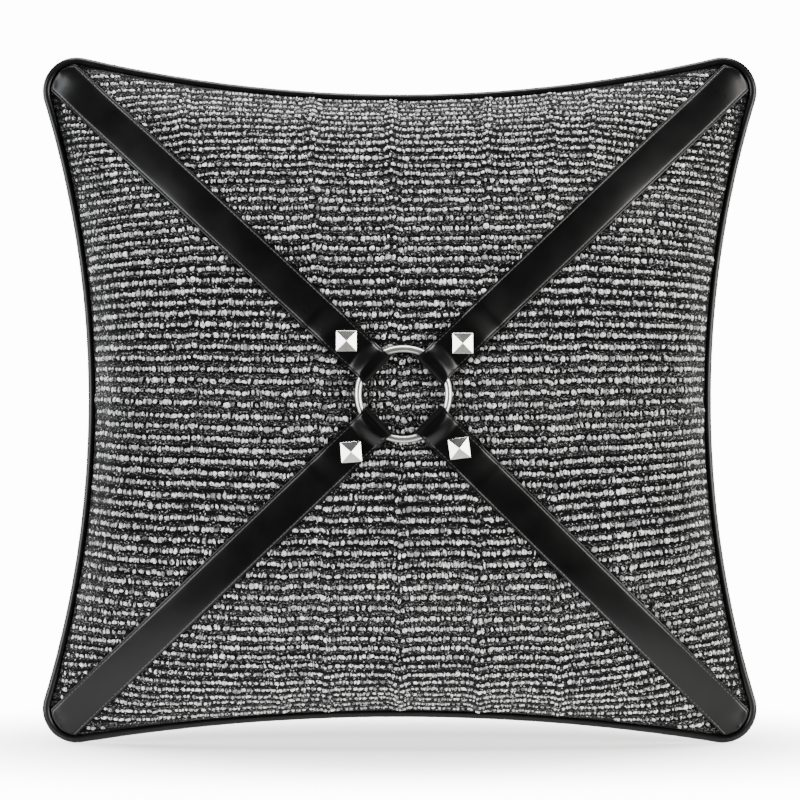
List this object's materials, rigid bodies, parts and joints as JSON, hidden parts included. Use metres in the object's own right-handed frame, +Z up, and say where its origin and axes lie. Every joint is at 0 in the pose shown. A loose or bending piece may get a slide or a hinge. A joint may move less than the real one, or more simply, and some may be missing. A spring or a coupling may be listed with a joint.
{
  "type": "throw pillow",
  "caption": "Square knife-edge throw pillow in striped tweed with a leather welt, and leather corner straps that meet at a metal ring with pyramid studs.",
  "frame": {"origin": "on the ground plane, under the middle of the pillow standing upright on its two lower corners; the seam lies in the plane y = 0", "axes": "+Z up, +X to the right of someone who looks at the front, front panel with ring and straps faces -Y, back panel faces +Y"},
  "size_m": [0.5, 0.1663, 0.4799],
  "materials": {
    "tweed": "black and white boucle tweed in horizontal rows",
    "back_cloth": "plain black woven back cloth",
    "strap_leather": "smooth black leather, half gloss",
    "cotton_cord": "twisted cotton welt cord",
    "ticking": "plain cotton insert case",
    "fill": "loose feather or fibre fill",
    "nickel": "polished nickel plate",
    "backing_steel": "plain steel discs",
    "zip_tape": "black woven zip tape",
    "zip_coil": "black nylon coil",
    "zip_metal": "black lacquered die-cast zinc"
  },
  "bodies": {
    "cover": {"front_panel": "tweed", "back_panel_upper": "back_cloth", "back_panel_lower": "back_cloth", "welt_cover": "strap_leather", "welt_cord": "cotton_cord", "insert_case_front": "ticking", "insert_case_back": "ticking", "insert_fill": "fill", "strap_upper_left": "strap_leather", "strap_upper_right": "strap_leather", "strap_lower_left": "strap_leather", "strap_lower_right": "strap_leather", "zip_tape_upper": "zip_tape", "zip_tape_lower": "zip_tape", "zip_coil_upper": "zip_coil", "zip_coil_lower": "zip_coil", "zip_stop_open_end": "zip_metal", "zip_stop_closed_end": "zip_metal", "stud_upper_left": "nickel", "stud_backing_upper_left": "backing_steel", "stud_upper_right": "nickel", "stud_backing_upper_right": "backing_steel", "stud_lower_left": "nickel", "stud_backing_lower_left": "backing_steel", "stud_lower_right": "nickel", "stud_backing_lower_right": "backing_steel"},
    "ring": {"ring": "nickel"},
    "zip_slider": {"zip_slider": "zip_metal"},
    "zip_pull": {"zip_pull": "zip_metal"}
  },
  "joints": [
    {"name": "ring_turn", "type": "hinge", "parent": "cover", "child": "ring", "pos_m": [0.0025, -0.0803, 0.244], "axis": [0, 1, 0], "continuous": true},
    {"name": "zip_slide", "type": "slide", "parent": "cover", "child": "zip_slider", "axis": [1, 0, 0], "range_m": [-0.302, 0]},
    {"name": "zip_pull_swing", "type": "hinge", "parent": "zip_slider", "child": "zip_pull", "pos_m": [0.151, 0.02569, 0.03079], "axis": [0, -0.9426, -0.3338], "range_deg": [0, 180]}
  ]
}
